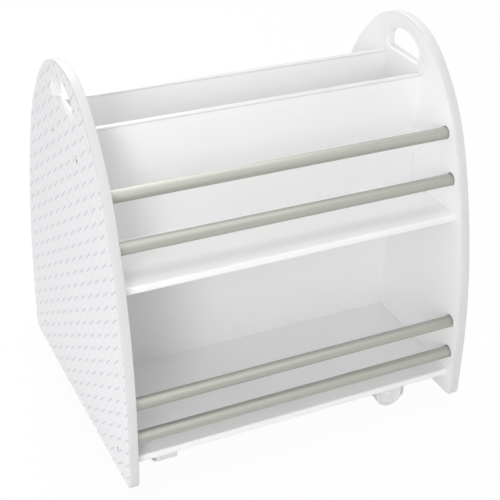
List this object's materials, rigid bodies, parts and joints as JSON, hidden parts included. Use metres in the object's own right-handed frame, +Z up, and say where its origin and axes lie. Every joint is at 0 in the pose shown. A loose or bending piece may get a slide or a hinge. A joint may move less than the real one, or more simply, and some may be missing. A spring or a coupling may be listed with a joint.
{
  "type": "double-sided bookcase on castors",
  "caption": "Double-sided bookcase with arched side panels, shelves behind tube rails, a middle trough, hand slots and twin-wheel swivel castors.",
  "frame": {"origin": "on the floor, under the middle of the bookcase", "axes": "+Z up; +X from the left side panel to the right one, as seen from the front; -Y is the front. The left side of each name is the -X side."},
  "size_m": [0.6, 0.497, 0.6349],
  "materials": {
    "white_board": "smooth white lacquer; faint lavender-grey pattern on the outer faces of the side panels",
    "rail_metal": "satin warm grey",
    "dowel_wood": "bare beech",
    "panel_screw": "zinc, slightly yellow",
    "castor_screw": "zinc",
    "castor_steel": "bright zinc",
    "axle_steel": "bright zinc",
    "castor_plastic": "white nylon",
    "wheel_plastic": "white nylon, slightly greyed"
  },
  "bodies": {
    "frame": {"side_panel_left": "white_board", "side_panel_right": "white_board", "upper_shelf": "white_board", "lower_shelf": "white_board", "front_upright": "white_board", "rear_upright": "white_board", "centre_divider": "white_board", "front_top_rail": "rail_metal", "front_second_rail": "rail_metal", "front_third_rail": "rail_metal", "front_bottom_rail": "rail_metal", "rear_top_rail": "rail_metal", "rear_second_rail": "rail_metal", "rear_third_rail": "rail_metal", "rear_bottom_rail": "rail_metal", "upper_shelf_dowels": "dowel_wood", "upright_end_dowels": "dowel_wood", "upright_base_dowels": "dowel_wood", "upright_screws": "panel_screw", "lower_shelf_screws": "panel_screw", "castor_screws": "castor_screw", "castor_pins": "castor_steel", "front_left_castor_plate": "castor_steel", "front_right_castor_plate": "castor_steel", "rear_left_castor_plate": "castor_steel", "rear_right_castor_plate": "castor_steel"},
    "front_left_swivel": {"front_left_castor_hood": "castor_plastic", "front_left_castor_axle": "axle_steel"},
    "front_left_wheel_left": {"front_left_castor_wheel_left": "wheel_plastic"},
    "front_left_wheel_right": {"front_left_castor_wheel_right": "wheel_plastic"},
    "front_right_swivel": {"front_right_castor_hood": "castor_plastic", "front_right_castor_axle": "axle_steel"},
    "front_right_wheel_left": {"front_right_castor_wheel_left": "wheel_plastic"},
    "front_right_wheel_right": {"front_right_castor_wheel_right": "wheel_plastic"},
    "rear_left_swivel": {"rear_left_castor_hood": "castor_plastic", "rear_left_castor_axle": "axle_steel"},
    "rear_left_wheel_left": {"rear_left_castor_wheel_left": "wheel_plastic"},
    "rear_left_wheel_right": {"rear_left_castor_wheel_right": "wheel_plastic"},
    "rear_right_swivel": {"rear_right_castor_hood": "castor_plastic", "rear_right_castor_axle": "axle_steel"},
    "rear_right_wheel_left": {"rear_right_castor_wheel_left": "wheel_plastic"},
    "rear_right_wheel_right": {"rear_right_castor_wheel_right": "wheel_plastic"}
  },
  "joints": [
    {"name": "front_left_castor_swivel", "type": "hinge", "parent": "frame", "child": "front_left_swivel", "pos_m": [-0.2155, -0.1785, 0.05], "axis": [0, 0, 1], "continuous": true},
    {"name": "front_left_wheel_left_roll", "type": "hinge", "parent": "front_left_swivel", "child": "front_left_wheel_left", "pos_m": [-0.2155, -0.1585, 0.025], "axis": [1, 0, 0], "continuous": true},
    {"name": "front_left_wheel_right_roll", "type": "hinge", "parent": "front_left_swivel", "child": "front_left_wheel_right", "pos_m": [-0.2155, -0.1585, 0.025], "axis": [1, 0, 0], "continuous": true},
    {"name": "front_right_castor_swivel", "type": "hinge", "parent": "frame", "child": "front_right_swivel", "pos_m": [0.2155, -0.1785, 0.05], "axis": [0, 0, 1], "continuous": true},
    {"name": "front_right_wheel_left_roll", "type": "hinge", "parent": "front_right_swivel", "child": "front_right_wheel_left", "pos_m": [0.1955, -0.1785, 0.025], "axis": [0, 1, 0], "continuous": true},
    {"name": "front_right_wheel_right_roll", "type": "hinge", "parent": "front_right_swivel", "child": "front_right_wheel_right", "pos_m": [0.1955, -0.1785, 0.025], "axis": [0, 1, 0], "continuous": true},
    {"name": "rear_left_castor_swivel", "type": "hinge", "parent": "frame", "child": "rear_left_swivel", "pos_m": [-0.2155, 0.1785, 0.05], "axis": [0, 0, 1], "continuous": true},
    {"name": "rear_left_wheel_left_roll", "type": "hinge", "parent": "rear_left_swivel", "child": "rear_left_wheel_left", "pos_m": [-0.2155, 0.1985, 0.025], "axis": [1, 0, 0], "continuous": true},
    {"name": "rear_left_wheel_right_roll", "type": "hinge", "parent": "rear_left_swivel", "child": "rear_left_wheel_right", "pos_m": [-0.2155, 0.1985, 0.025], "axis": [1, 0, 0], "continuous": true},
    {"name": "rear_right_castor_swivel", "type": "hinge", "parent": "frame", "child": "rear_right_swivel", "pos_m": [0.2155, 0.1785, 0.05], "axis": [0, 0, 1], "continuous": true},
    {"name": "rear_right_wheel_left_roll", "type": "hinge", "parent": "rear_right_swivel", "child": "rear_right_wheel_left", "pos_m": [0.1955, 0.1785, 0.025], "axis": [0, 1, 0], "continuous": true},
    {"name": "rear_right_wheel_right_roll", "type": "hinge", "parent": "rear_right_swivel", "child": "rear_right_wheel_right", "pos_m": [0.1955, 0.1785, 0.025], "axis": [0, 1, 0], "continuous": true}
  ]
}
